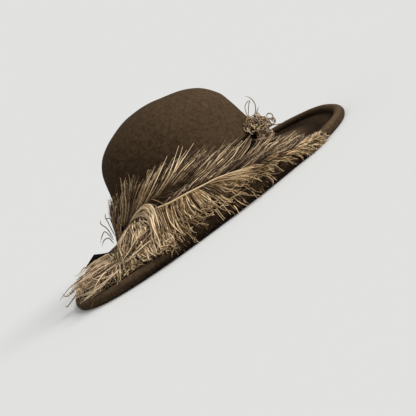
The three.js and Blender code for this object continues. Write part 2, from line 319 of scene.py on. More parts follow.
# Lower plume: barbs that hang from the shaft to the brim's edge
LOWER_HANGING = [
    (0.01, -49, -120, 27, -59, -152, 13, 0.05),
    (0.04, -46, -124, 21, -52, -156, 9, 0.10),
    (0.09, -38, -124, 22, -40, -157, 9, 0.15),
    (0.13, -29, -127, 22, -31, -158, 7, 0.20),
    (0.18, -22, -127, 21, -16, -159, 6, 0.20),
    (0.22, -7, -130, 23, -7, -158, 8, 0.22),
    (0.25, 1, -130, 20, 4, -159, 7, 0.20),
    (0.28, 11, -130, 18, 14, -160, 1, 0.12),
    (0.32, 19, -128, 19, 25, -159, 5, 0.15),
    (0.36, 26, -126, 20, 33, -158, 6, 0.20),
    (0.40, 38, -126, 18, 43, -157, 4, 0.15),
    (0.43, 48, -125, 17, 54, -154, 4, 0.12),
    (0.46, 57, -126, 17, 65, -149, 7, 0.10),
    (0.49, 64, -126, 18, 73, -141, 11, 0.06),
    (0.53, 74, -130, 16, 85, -141, 8, 0.05),
    (0.58, 83, -134, 15, 96, -139, 6, 0.04),
    (0.64, 92, -136, 13, 106, -138, 5, 0.04),
    (0.72, 102, -135, 11, 116, -134, 3, 0.05),
    (0.81, 112, -132, 8, 122, -130, 2, 0.08),
    (0.91, 121, -128, 7, 127, -126, 2, 0.10),
]

# Lower plume: greyer barbs above the shaft, swept forward
LOWER_RISING = [
    (0.03, -29, -86, 41, -19, -84, 41, 0),
    (0.10, -17, -92, 41, -5, -89, 41, 0),
    (0.17, -4, -95, 39, 12, -92, 41, 0),
    (0.28, 16, -95, 36, 34, -90, 36, 0),
    (0.38, 34, -93, 31, 54, -86, 30, 0),
    (0.47, 53, -96, 25, 74, -88, 23, 0),
    (0.53, 68, -101, 19, 89, -93, 16, 0.02),
    (0.58, 80, -107, 15, 102, -99, 12, 0.04),
    (0.62, 88, -116, 14, 105, -114, 10, 0.06),
    (0.67, 95, -122, 13, 111, -121, 10, 0.08),
    (0.73, 103, -127, 12, 115, -125, 9, 0.10),
    (0.80, 108, -130, 11, 120, -126, 7, 0.10),
    (0.87, 114, -130, 10, 123, -125, 5, 0.08),
    (0.94, 119, -128, 9, 125, -124, 3, 0.05),
]

# Lower plume: golden barbs over the front half of the hanging ones
LOWER_GOLDEN = [
    (0.30, 34, -125, 22, 44, -148, 13, 0.04),
    (0.36, 43, -124, 20, 54, -146, 13, 0.04),
    (0.42, 52, -124, 19, 63, -144, 13, 0.03),
    (0.48, 62, -124, 17, 74, -142, 12, 0.02),
    (0.55, 75, -130, 14, 87, -141, 8, 0.02),
    (0.63, 88, -133, 13, 100, -139, 6, 0.02),
    (0.71, 99, -134, 11, 111, -136, 4, 0.02),
]
LOWER_VANES = [
    (LOWER_HANGING, 370, 240, 120, 0.15, 1.9, 1.5, 0.07, (0.86, 1.06), (0, 0.08), 0.72, (0.66, 0.5), 0.65),
    (LOWER_RISING, 190, 420, 70, 0.2, 1.6, 0.9, 0.02, (0.75, 1.0), (0.15, 0.1), 0.45, (0.52, 0.44), 0.3),
    (LOWER_GOLDEN, 120, 240, 40, 0.15, 1.3, 1.0, 0.03, (0.8, 1.15), (0.05, 0.1), 0.7, (0.74, 0.76), 0.75),
]
LOWER_WISPS = [
    [(105, -130, 12), (112, -134, 10), (118, -137, 8), (119, -138, 4), (115, -138, 2), (113, -138, 5)],
    [(52, -146, 18), (57, -152, 13), (59, -156, 10), (59, -158, 5), (56, -158, 0)],
    [(54, -140, 18), (60, -150, 15), (64, -152, 10), (70, -154, 7)],
    [(26, -150, 17), (32, -158, 11), (38, -161, 6), (42, -162, 3), (42, -162, -1)],
    [(-2, -150, 24), (5, -162, 20), (8, -164, 13), (13, -165, 7), (14, -165, 1)],
    [(-38, -154, 24), (-44, -158, 18), (-46, -160, 13), (-53, -160, 8), (-55, -160, 5)],
]

# Arch: barbs that fall from the whole of the shaft
ARCH_BACK = [
    (0.00, -106, -52, 24, -113, -84, 21, 0),
    (0.25, -92, -62, 30, -99, -92, 25, 0),
    (0.55, -79, -78, 36, -86, -104, 30, 0),
    (0.85, -64, -94, 36, -73, -116, 30, 0),
    (1.00, -53, -104, 35, -60, -124, 27, 0),
]

# Arch: pale barbs that fall from the shaft's higher part
ARCH_TOP = [
    (0.30, -47, -88, 47, -53, -120, 25, 0),
    (0.40, -49, -90, 46, -59, -126, 21, 0),
    (0.50, -52, -92, 43, -62, -128, 22, 0),
    (0.62, -53, -96, 39, -66, -132, 18, 0),
    (0.80, -55, -100, 35, -66, -140, 15, 0),
    (1.00, -50, -108, 35, -55, -146, 15, 0),
]

# Arch: pale barbs that fall from a line beside the shaft
ARCH_SIDE_ROOTS = [(-91, -74, 34), (-80, -86, 37), (-69, -98, 37), (-60, -106, 34)]
ARCH_SIDE = [
    (0.00, -91, -92, 30, -92, -112, 23, 0),
    (0.35, -77, -104, 31, -79, -124, 22, 0),
    (0.70, -70, -112, 30, -71, -132, 20, 0),
    (1.00, -61, -120, 26, -61, -140, 18, 0),
]

# Arch: pale barbs that fall from between that line and the shaft
ARCH_MIDDLE_ROOTS = [(-98, -62, 31), (-85, -74, 37), (-73, -84, 42), (-62, -94, 41)]
ARCH_MIDDLE = [
    (0.00, -102, -80, 25, -108, -102, 19, 0),
    (0.30, -89, -92, 31, -95, -114, 24, 0),
    (0.65, -76, -102, 35, -83, -124, 26, 0),
    (1.00, -58, -112, 33, -66, -134, 25, 0),
]

# Arch: a few pale barbs swept back across the others
ARCH_SWEPT_ROOTS = [(-57, -112, 34), (-55, -124, 28), (-58, -132, 21), (-62, -138, 13)]
ARCH_SWEPT = [
    (0.00, -78, -120, 31, -101, -118, 25, 0),
    (0.35, -77, -128, 24, -101, -124, 20, 0),
    (0.70, -74, -134, 20, -92, -132, 18, 0),
    (1.00, -72, -140, 14, -84, -138, 15, 0),
]

# Arch: fringe along the brim's edge
ARCH_FRINGE_ROOTS = [
    (-122, -84, 18), (-108, -104, 21), (-95, -120, 24), (-84, -128, 24), (-70, -134, 24),
    (-55, -138, 24), (-45, -140, 24),
]
ARCH_FRINGE = [
    (0.00, -129, -98, 18, -139, -111, 13, 0),
    (0.17, -111, -116, 19, -117, -128, 12, 0),
    (0.33, -98, -129, 18, -101, -137, 12, 0.20),
    (0.50, -84, -138, 16, -82, -144, 10, 0.30),
    (0.70, -68, -146, 15, -66, -151, 9, 0.35),
    (0.87, -55, -150, 15, -54, -156, 9, 0.40),
    (1.00, -49, -152, 16, -47, -158, 10, 0.40),
]
ARCH_VANES = [
    (ARCH_BACK, 90, 120, 30, 0.2, 1.8, 1.2, 0.03, (0.6, 1.1), 0, 0.7, 0.5, 0.5),
    (ARCH_TOP, 64, 40, 24, 0.2, 2.4, 1.1, 0.02, (0.9, 1.05), 0, 0.86, 0.74, 0.5),
    (ARCH_SIDE, 44, 30, 22, 0.1, 3.2, 1.8, 0.08, (0.7, 1.2), 0, 0.86, 0.74, 0.5, ARCH_SIDE_ROOTS),
    (ARCH_MIDDLE, 50, 40, 25, 0.1, 2.4, 1.8, 0.08, (0.7, 1.05), 0, 0.86, 0.72, 0.5, ARCH_MIDDLE_ROOTS),
    (ARCH_SWEPT, 16, 8, 16, 0, 2.5, 2.0, 0.04, (0.75, 1.15), 0, 0.82, 0.78, 0.5, ARCH_SWEPT_ROOTS),
    (ARCH_FRINGE, 160, 80, 60, 0.1, 2.2, 1.4, 0.1, (0.75, 1.0), 0.1, 0.76, 0.64, 0.5, ARCH_FRINGE_ROOTS),
]
ARCH_WISPS = [
    [(-41, -106, 54), (-37, -110, 49), (-34, -114, 43), (-33, -120, 35), (-31, -128, 28), (-27, -134, 22)],
    [(-46, -106, 53), (-41, -112, 46), (-41, -116, 40), (-44, -122, 31), (-47, -130, 22), (-47, -138, 15)],
]

# Tail: barbs that run back over the brim's end
TAIL_BACK_ROOTS = [(-114, -38, 27), (-113, -60, 21), (-101, -88, 20), (-97, -112, 19)]
TAIL_BACK = [
    (0.00, -135, -36, 28, -162, -36, 24, 0),
    (0.14, -146, -40, 24, -178, -38, 21, 0),
    (0.30, -139, -44, 23, -168, -42, 19, 0),
    (0.45, -136, -62, 20, -164, -56, 16, 0),
    (0.60, -132, -82, 18, -160, -74, 13, 0),
    (0.75, -127, -100, 16, -156, -88, 12, 0),
    (0.88, -122, -114, 16, -150, -102, 12, 0),
    (1.00, -127, -120, 15, -176, -66, 12, 0),
]

# Tail: barbs that fall from the shaft
TAIL_SIDE = [
    (0.00, -104, -60, 20, -107, -88, 17, 0.05),
    (0.30, -116, -60, 19, -121, -88, 16, 0.05),
    (0.60, -134, -58, 18, -142, -76, 15, 0),
    (0.90, -160, -50, 16, -170, -58, 13, 0),
]
TAIL_VANES = [
    (TAIL_BACK, 84, 20, 60, 0.1, 3.2, 1.5, 0.05, (0.6, 1.0), 0, 0.8, 0.82, 0.35, TAIL_BACK_ROOTS),
    (TAIL_SIDE, 60, 30, 40, 0.1, 2.2, 1.7, 0.1, (0.7, 1.0), 0.1, 0.8, 0.76, 0.35),
]
TAIL_WISPS = [
    [(-139, -34, 25), (-155, -34, 24), (-170, -34, 23), (-181, -34, 20), (-187, -34, 18)],
    [(-160, -38, 16), (-170, -38, 13), (-179, -38, 10), (-184, -38, 9), (-184, -38, 11)],
    [(-164, -34, 18), (-174, -34, 17), (-179, -34, 18), (-180, -34, 23)],
]

# Tuft: upright barbs
TUFT_TALL = [
    (0.00, -94, -24, 46, -82, -24, 64, 0.03),
    (0.33, -88, -26, 54, -76, -28, 70, 0.03),
    (0.67, -82, -30, 58, -70, -34, 70, 0.03),
    (1.00, -77, -34, 60, -66, -38, 68, 0.03),
]

# Tuft: darker barbs at their foot
TUFT_DARK_ROOTS = [(-101, -32, 29), (-94, -38, 33)]
TUFT_DARK = [
    (0.00, -89, -30, 46, -77, -30, 61, 0),
    (1.00, -83, -36, 46, -70, -36, 60, 0),
]
TUFT_VANES = [
    (TUFT_TALL, 90, 80, 24, 0.2, 1.2, 1.1, 0.05, (0.8, 1.02), 0, 0.6, 0.53, 0.4),
    (TUFT_DARK, 40, 90, 14, 0.2, 1.2, 1.1, 0.05, (0.7, 1.1), 0, 0.6, 0.47, 0.4, TUFT_DARK_ROOTS),
]
TUFT_WISPS = [
    [(-88, -30, 52), (-82, -32, 61), (-77, -34, 66), (-75, -34, 71), (-78, -34, 75)],
    [(-100, -20, 36), (-99, -20, 43), (-97, -20, 53), (-96, -20, 59), (-93, -20, 62)],
    [(-103, -20, 36), (-102, -20, 48), (-104, -20, 56), (-102, -20, 60)],
    [(-104, -20, 34), (-106, -20, 47), (-111, -20, 45), (-117, -20, 40)],
    [(-106, -20, 31), (-107, -20, 39), (-112, -20, 40), (-118, -20, 36)],
    [(-94, -20, 49), (-93, -20, 55), (-96, -20, 57), (-95, -20, 62)],
]

# Curl: barbs curled backward
CURL_BACK = [
    (0.00, 84, -50, 26, 79, -52, 27, -0.60),
    (0.50, 84, -47, 36, 78, -47, 39, -0.70),
    (1.00, 86, -42, 48, 84, -38, 55, -0.60),
]

# Curl: barbs curled forward
CURL_FRONT = [
    (0.00, 95, -46, 22, 100, -48, 22, 0.60),
    (0.50, 95, -42, 32, 102, -40, 32, 0.70),
    (1.00, 92, -40, 44, 96, -38, 51, -0.60),
]
CURL_VANES = [
    (CURL_BACK, 36, 40, 12, 0.2, 2.2, 1.4, 0.15, (0.8, 1.05), 0, 0.6, 0.6, 0.4),
    (CURL_FRONT, 36, 40, 12, 0.2, 2.2, 1.4, 0.15, (0.8, 1.05), 0, 0.6, 0.6, 0.4),
]
CURL_WISPS = [
    [(92, -36, 50), (98, -36, 55), (102, -36, 61), (102, -36, 69), (98, -36, 75)],
    [(88, -36, 51), (89, -36, 58), (91, -36, 64), (94, -36, 67), (99, -36, 68), (99, -36, 65)],
    [(88, -36, 54), (95, -36, 63), (99, -36, 67), (101, -36, 68)],
    [(94, -36, 49), (98, -36, 53), (104, -36, 57)],
    [(90, -36, 54), (97, -36, 51), (101, -36, 44), (107, -36, 39), (109, -36, 34)],
    [(96, -36, 48), (101, -36, 44), (103, -36, 40), (104, -36, 34), (102, -36, 33), (99, -36, 37)],
    [(93, -36, 43), (96, -36, 39), (100, -36, 35), (107, -36, 31), (114, -36, 28), (118, -36, 28)],
    [(91, -36, 41), (96, -36, 36), (99, -36, 31), (101, -36, 26)],
    [(88, -42, 41), (81, -42, 42), (78, -42, 46), (78, -42, 49), (84, -42, 47), (87, -42, 49)],
    [(86, -42, 39), (80, -42, 42), (82, -42, 38), (78, -42, 39), (74, -42, 40)],
    [(92, -40, 54), (88, -40, 50), (91, -40, 45), (97, -40, 43), (98, -40, 39), (93, -40, 37)],
    [(100, -40, 46), (94, -40, 46), (89, -40, 44), (88, -40, 38), (93, -40, 33)],
    [(83, -41, 49), (90, -41, 48), (93, -41, 43), (89, -41, 39), (84, -41, 41)],
]

# The plumes, with points as (x, y, z). A plume's shaft is a tube along its rachis, of radius shaft, moved
# outward by lift. Wisps are single loose barbs, quills bare shafts and loops small open curls.
PLUMES = {
    "plume_upper": dict(
        seed=11, shaft=0.55, lift=0.5,
        rachis=[
            (-102, -24, 30), (-85, -34, 39), (-67, -56, 47), (-38, -75, 49),
            (-16, -82, 46), (16, -85, 34), (44, -82, 24), (69, -84, 16),
        ],
        vanes=UPPER_VANES,
    ),
    "plume_lower": dict(
        seed=12, shaft=0.8, lift=1,
        rachis=[
            (-45, -82, 41), (-28, -90, 38), (-7, -94, 35), (12, -95, 32), (31, -94, 27),
            (58, -103, 18), (77, -120, 15), (91, -130, 13), (110, -133, 12), (126, -124, 11),
        ],
        vanes=LOWER_VANES,
        wisps=LOWER_WISPS,
        quills=[
            [
                (-45, -90, 42), (-29, -98, 39), (-11, -102, 37), (6, -102, 34),
                (23, -102, 31), (45, -102, 24), (66, -106, 17),
            ],
        ],
    ),
    "plume_arch": dict(
        seed=13, shaft=1.2, lift=1.2,
        rachis=[
            (-104, -28, 27), (-93, -38, 34), (-82, -50, 39),
            (-73, -62, 42), (-65, -74, 43), (-56, -86, 41),
        ],
        vanes=ARCH_VANES,
        wisps=ARCH_WISPS,
        quills=[
            [(-96, -84, 34), (-93, -88, 37), (-89, -92, 39), (-85, -95, 41), (-80, -98, 43)],
        ],
    ),
    "plume_tail": dict(
        seed=24, shaft=0.6, lift=0.6,
        rachis=[
            (-105, -34, 27), (-118, -38, 26), (-132, -42, 25),
            (-145, -46, 22), (-160, -46, 20), (-173, -42, 18),
        ],
        vanes=TAIL_VANES,
        wisps=TAIL_WISPS,
    ),
    "plume_tuft": dict(
        seed=15, shaft=0.8, lift=0.8,
        rachis=[(-103, -22, 22), (-101, -22, 32), (-96, -22, 40), (-89, -24, 50)],
        vanes=TUFT_VANES,
        wisps=TUFT_WISPS,
    ),
    "plume_curl": dict(
        seed=16, shaft=0.8, lift=0.8,
        rachis=[(90, -46, 20), (89, -45, 28), (88, -42, 36), (88, -40, 42)],
        vanes=CURL_VANES,
        wisps=CURL_WISPS,
        loops=56,
        loops_along=[(80, -46, 40), (84, -44, 50), (92, -42, 50), (98, -40, 42), (105, -38, 36)],
    ),
}


def hat_origin():
    """Where the hat's own frame starts in the row frame, in metres."""
    low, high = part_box("felt_body")
    middle = (low + high) / 2
    return np.array((middle.x, middle.y, low.z + MILLIMETRE * EDGE_DROP))


ORIGIN = hat_origin()


def place(points):
    """Points in the hat's millimetres as row-frame metres."""
    return np.asarray(points, float) * MILLIMETRE + ORIGIN


def smooth_step(low, high, value):
    """A share that grows smoothly from 0 at low to 1 at high; low may be the greater."""
    share = np.clip((value - low) / (high - low), 0, 1)
    return share * share * (3 - 2 * share)


def unit(vectors):
    """Vectors scaled to a length of 1."""
    length = np.linalg.norm(vectors, axis=-1, keepdims=True)
    return vectors / np.maximum(length, 1e-9)


def along(points, share):
    """Places on the centripetal Catmull-Rom curve through points, at shares from 0 to 1."""
    points = np.asarray(points, float)
    ends = np.vstack([2 * points[0] - points[1], points, 2 * points[-1] - points[-2]])
    at = np.clip(share, 0, 1) * (len(points) - 1)
    first = np.minimum(at.astype(int), len(points) - 2)
    w = (at - first)[:, None]
    p0, p1, p2, p3 = (ends[first + k] for k in range(4))
    d0, d1, d2 = (np.linalg.norm(b - a, axis=1)[:, None] ** 0.5 for a, b in ((p0, p1), (p1, p2), (p2, p3)))
    leave = ((p1 - p0) / d0 - (p2 - p0) / (d0 + d1) + (p2 - p1) / d1) * d1
    arrive = ((p2 - p1) / d1 - (p3 - p1) / (d1 + d2) + (p3 - p2) / d2) * d1
    square = -3 * p1 + 3 * p2 - 2 * leave - arrive
    cube = 2 * p1 - 2 * p2 + leave + arrive
    return p1 + leave * w + square * w ** 2 + cube * w ** 3


def spaced(points, count):
    """Evenly spaced points of the smooth curve through points."""
    fine = along(points, np.linspace(0, 1, CURVE_SAMPLES))
    length = np.concatenate([[0], np.cumsum(np.linalg.norm(np.diff(fine, axis=0), axis=1))])
    wanted = np.linspace(0, length[-1], count)
    return np.stack([np.interp(wanted, length, column) for column in fine.T], -1)


def oval(angle, centre_x, half_length, half_width, squareness):
    """Points of an oval, where a squareness of 2 is an ellipse."""
    c = np.cos(angle)
    s = np.sin(angle)
    reach = (np.abs(c) ** squareness + np.abs(s) ** squareness) ** (-1 / squareness)
    return centre_x + half_length * c * reach, half_width * s * reach


def mesh_object(name, points, faces, material, attributes=None):
    """A smooth-shaded mesh from points in the hat's millimetres and faces of equal size."""
    mesh = bpy.data.meshes.new(name)
    mesh.vertices.add(len(points))
    mesh.vertices.foreach_set("co", place(points).astype(np.float32).ravel())
    mesh.loops.add(faces.size)
    mesh.loops.foreach_set("vertex_index", faces.astype(np.int32).ravel())
    mesh.polygons.add(len(faces))
    mesh.polygons.foreach_set("loop_start", np.arange(0, faces.size, faces.shape[1], dtype=np.int32))
    mesh.update(calc_edges=True)
    mesh.shade_smooth()
    for key, values in (attributes or {}).items():
        mesh.attributes.new(key, "FLOAT", "POINT").data.foreach_set("value", values.astype(np.float32))
    mesh.materials.append(material)
    piece = bpy.data.objects.new(name, mesh)
    bpy.context.scene.collection.objects.link(piece)
    return piece


def dress(piece, node):
    """The piece stands for a CAD node and rides with the hat."""
    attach(piece, "root")
    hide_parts(node)


def dent_at(x, y, height):
    """How far the dent lowers the crown's top."""
    forward = x - CROWN_CENTRE_X
    share = smooth_step(DENT_BACK_X, DENT_FRONT_X, forward)
    hollow = share * DENT_DEPTH * np.exp(-((y / DENT_WIDTH) ** 2))
    dip = DIP_DEPTH * np.exp(-(((forward - DIP_X) / DIP_HALF_LENGTH) ** 2))
    return smooth_step(DENT_LOWEST, DENT_HIGHEST, height) * (hollow + dip)


def pinch_at(angle, height):
    """How far the front of each side is pinched in."""
    side = np.abs(np.arctan2(np.sin(angle), np.cos(angle)))
    around = np.exp(-(((side - PINCH_ANGLE) / PINCH_HALF_ANGLE) ** 2))
    return PINCH_DEPTH * around * np.exp(-(((height - PINCH_HEIGHT) / PINCH_HALF_HEIGHT) ** 2))


def crown_rows(angles):
    """Rows of the crown's outside, from its top down to where the brim begins."""
    rows = []
    for reach, height in spaced(CROWN_PROFILE, CROWN_ROWS):
        inward = 1 - pinch_at(angles, height) / max(reach, PINCH_LEAST_REACH)
        x, y = oval(angles, 0, reach * inward, reach * CROWN_WIDTH_RATIO * inward, ELLIPSE)
        x = x + CROWN_CENTRE_X
        rows.append(np.stack([x, y, height - dent_at(x, y, height)], -1))
    return rows


def lift_at(angle):
    """The brim's rim lies on the floor at its front and back and lifts at the sides."""
    return SIDE_LIFT * smooth_step(FLAT_SINE, 1, np.abs(np.sin(angle)))


def brim_angle(x, y):
    """The angle at which rim_line() is straight out from the brim's middle through a place."""
    return np.arctan2(y / BRIM_HALF_WIDTH, x / BRIM_HALF_LENGTH)


def rim_line(angle, inset):
    """The brim's outline, or a line at an inset from it."""
    return oval(angle, 0, BRIM_HALF_LENGTH - inset, BRIM_HALF_WIDTH - inset, BRIM_SQUARENESS)


def brim_height(share, angle):
    """Height of the brim's upper surface at a share of the way from the crown's foot to the edge."""
    foot = CROWN_PROFILE[-1][1]
    edge = EDGE_JOIN_HEIGHT + lift_at(angle)
    return foot + (edge - foot) * share - BRIM_DISH * np.sin(math.pi * share)


def brim_rows(angles):
    """Rows of the brim's upper surface, from the crown's foot to the rolled edge."""
    reach = CROWN_PROFILE[-1][0]
    inner_x, inner_y = oval(angles, CROWN_CENTRE_X, reach, reach * CROWN_WIDTH_RATIO, ELLIPSE)
    outer_x, outer_y = rim_line(angles, EDGE_WIDTH - EDGE_LAP)
    rows = []
    for share in np.linspace(0, 1, BRIM_ROWS + 1)[1:]:
        x = inner_x + (outer_x - inner_x) * share
        y = inner_y + (outer_y - inner_y) * share
        rows.append(np.stack([x, y, brim_height(share, angles)], -1))
    return rows


def edge_rows(angles):
    """Rows of the rolled edge, over the top, down the outside and back along the flat underside."""
    half_width = EDGE_WIDTH / 2
    half_height = EDGE_HEIGHT / 2
    half_flat = EDGE_FLAT_WIDTH / 2
    middle = half_height - EDGE_DROP
    section = [
        (half_width * math.cos(turn), middle + half_height * math.sin(turn))
        for turn in np.radians(np.linspace(*EDGE_TURNS, EDGE_ROWS))
    ]
    section += [(x, -EDGE_DROP) for x in np.linspace(half_flat, -half_flat, EDGE_FLAT_ROWS)]
    section.append((-half_width * EDGE_HEEL_SHARE, EDGE_HEEL_HEIGHT - EDGE_DROP))
    rows = []
    for across, height in section:
        x, y = rim_line(angles, half_width - across)
        rows.append(np.stack([x, y, height + lift_at(angles)], -1))
    return rows


def grid_normals(rows):
    """Unit normals of a grid of closed rows, pointing out of the crown and up from the brim."""
    outward = np.gradient(rows, axis=0)
    around = np.roll(rows, -1, axis=1) - np.roll(rows, 1, axis=1)
    return unit(np.cross(outward, around))


def loft_faces(rings, count, loop_rings=False):
    """Triangles between closed rings of count points."""
    spans = rings if loop_rings else rings - 1
    a = (np.arange(spans)[:, None] * count + np.arange(count)).ravel()
    right = (np.arange(spans)[:, None] * count + (np.arange(count) + 1) % count).ravel()
    down = (a + count) % (rings * count)
    down_right = (right + count) % (rings * count)
    return np.concatenate([np.stack([a, right, down_right], -1), np.stack([a, down_right, down], -1)])


def closed_loft(rows):
    """Points and triangles of a solid through closed rings, capped at both ends."""
    rings, count, _ = rows.shape
    last = (rings - 1) * count
    points = np.vstack([rows.reshape(-1, 3), rows[0].mean(0), rows[-1].mean(0)])
    ring = np.arange(count)
    after = (ring + 1) % count
    start = np.full(count, len(points) - 2)
    end = np.full(count, len(points) - 1)
    caps = [np.stack([start, after, ring], -1), np.stack([end, last + ring, last + after], -1)]
    return points, np.concatenate([loft_faces(rings, count), *caps])


def outward_faces(points, faces):
    """The same triangles, turned so that they point out of the solid."""
    a, b, c = (points[faces[:, k]] for k in range(3))
    volume = np.einsum("ij,ij->i", a, np.cross(b, c)).sum()
    return faces if volume > 0 else faces[:, ::-1]


def felt_painted_light_and_shade(points):
    """Painted light and shade on the felt, from 0 to 1: painted light most on the rolled edge, then on the
    crown's front and top; painted shade in the brim's hollow and under the plumes on the near side.
    """
    x, y, z = points.T
    rim_x, rim_y = rim_line(brim_angle(x, y), 0)
    from_rim = np.hypot(rim_x, rim_y) - np.hypot(x, y)
    # Painted light on the outside of the rolled edge, towards its front and back ends
    outside = smooth_step(*FROM_RIM, from_rim) * smooth_step(*ENDS_X, np.abs(x))
    # Painted shade on the near side's edge, under the plumes
    shaded = smooth_step(*SHADED_BACK_X, x) * smooth_step(*SHADED_FRONT_X, x) * smooth_step(*SHADED_Y, y)
    # Painted light on the rolled edge, where it catches the light
    roll = np.maximum(smooth_step(*ROLL_Z, z), OUTSIDE_SHARE * outside)
    # Painted light at the brim's front tip
    front_tip = smooth_step(*FRONT_TIP_X, x)
    brim = np.maximum(ROLL_PAINTED_LIGHT * roll * (1 - SHADED_LOSS * shaded), FRONT_TIP_PAINTED_LIGHT * front_tip)
    # Painted light on the crown's top and front; its lower back has the least
    high = smooth_step(*HIGH_Z, z)
    ahead = smooth_step(*AHEAD_X, x)
    crown = CROWN_PAINTED_LIGHT + HIGH_PAINTED_LIGHT * high + (AHEAD_PAINTED_LIGHT - AHEAD_LESS_HIGH * high) * ahead
    on_crown = smooth_step(*CROWN_Z, z)
    return brim * (1 - on_crown) + crown * on_crown


def make_felt(material):
    """Crown, brim and rolled edge as one shell."""
    angles = np.linspace(0, 2 * math.pi, FELT_COLUMNS, endpoint=False)
    upper = np.array(crown_rows(angles) + brim_rows(angles))
    under = upper - FELT_THICKNESS * grid_normals(upper)
    rows = np.concatenate([upper, np.array(edge_rows(angles)), under[::-1]])
    points, faces = closed_loft(rows)
    # Painted light and shade on the felt, kept as an attribute
    painted_light_and_shade = {"painted_light_and_shade": felt_painted_light_and_shade(points)}
    piece = mesh_object("felt", points, outward_faces(points, faces), material, painted_light_and_shade)
    dress(piece, "felt_body")


def reach_at(height):
    """Half length of the crown's oval at a height."""
    profile = spaced(CROWN_PROFILE, PROFILE_SAMPLES)[::-1]
    return np.interp(height, profile[:, 1], profile[:, 0])


def make_band(material):
    """Grosgrain ribbon round the crown's foot, with ribs across its width."""
    angles = np.linspace(0, 2 * math.pi, 2 * BAND_RIBS, endpoint=False)
    walls = []
    for height in np.linspace(RIBBON_TOP, RIBBON_BOTTOM, BAND_ROWS):
        reach = reach_at(height)
        half_width = reach * CROWN_WIDTH_RATIO + RIBBON_CLEARANCE
        x, y = oval(angles, CROWN_CENTRE_X, reach + RIBBON_CLEARANCE, half_width, ELLIPSE)
        walls.append(np.stack([x, y, np.full(len(angles), height)], -1))
    inner = np.array(walls)
    from_axis = unit(inner * (1, 1, 0) - (CROWN_CENTRE_X, 0, 0))
    ribs = np.zeros((BAND_ROWS, len(angles)))
    ribs[1:-1, 1::2] = BAND_RIB_DEPTH
    outer = inner + from_axis * (RIBBON_THICKNESS - ribs)[..., None]
    rows = np.concatenate([inner, outer[::-1]])
    faces = loft_faces(len(rows), len(angles), loop_rings=True)
    points = rows.reshape(-1, 3)
    piece = mesh_object("ribbon_band", points, outward_faces(points, faces), material)
    dress(piece, "hatband")


def make_ribbon_tail(material):
    """The ribbon's cut end, which stands off the back of the crown over the brim."""
    share = np.linspace(0, 1, TAIL_STEPS)
    line = along(TAIL_LINE, share)
    tangent = unit(np.gradient(line, axis=0))
    across = TAIL_START_ACROSS + (TAIL_END_ACROSS - TAIL_START_ACROSS) * share[:, None]
    across = unit(across - np.sum(across * tangent, axis=1, keepdims=True) * tangent)
    ribs = TAIL_RIB_DEPTH * (np.arange(TAIL_STEPS) % 2)
    half = np.cross(tangent, across) * (RIBBON_THICKNESS / 2 - ribs)[:, None]
    places = np.linspace(-0.5, 0.5, TAIL_COLUMNS)
    top = [line + across * TAIL_WIDTH * u + half for u in places]
    bottom = [line + across * TAIL_WIDTH * u - half for u in places[::-1]]
    points, faces = closed_loft(np.stack(top + bottom, axis=1))
    piece = mesh_object("ribbon_end", points, outward_faces(points, faces), material)
    dress(piece, "ribbon_tail")


def tubes(paths, radii, sides):
    """Points and triangles of closed tubes, one along each path."""
    count, steps, _ = paths.shape
    tangent = unit(np.gradient(paths, axis=1))
    side = unit(np.cross(tangent[:, 0], ACROSS_BARBS))
    turns = 2 * math.pi * np.arange(sides) / sides
    rings = []
    for k in range(steps):
        here = tangent[:, k]
        side = unit(side - np.sum(side * here, axis=1, keepdims=True) * here)
        normal = np.cross(here, side)
        spokes = np.cos(turns)[:, None] * side[:, None] + np.sin(turns)[:, None] * normal[:, None]
        rings.append(paths[:, k, None] + spokes * radii[:, k, None, None])
    points = np.stack(rings, axis=1).reshape(-1, 3)
    ring = np.arange(1, sides - 1)
    start_cap = np.stack([np.zeros_like(ring), ring + 1, ring], -1)
    end_cap = (steps - 1) * sides + np.stack([np.zeros_like(ring), ring, ring + 1], -1)
    one = np.concatenate([loft_faces(steps, sides), start_cap, end_cap])
    faces = (np.arange(count)[:, None, None] * steps * sides + one).reshape(-1, 3)
    return points, faces


def crown_spread(x, y):
    """Half length of the oval of the crown's shape that passes through a place."""
    return np.hypot(x - CROWN_CENTRE_X, y / CROWN_WIDTH_RATIO)


def clear_of_crown(x, y, z, clearance):
    """Places in the crown or its band, moved out to a clearance from it."""
    spread = crown_spread(x, y)
    by_band = (z > RIBBON_BOTTOM - BAND_MARGIN) & (z < RIBBON_TOP + BAND_MARGIN)
    wanted = reach_at(z) + (RIBBON_CLEARANCE + RIBBON_THICKNESS) * by_band + clearance
    inside = (z > CROWN_PROFILE[-1][1]) & (spread < wanted)
    grow = np.where(inside, wanted / np.maximum(spread, 1), 1)
    return CROWN_CENTRE_X + (x - CROWN_CENTRE_X) * grow, y * grow


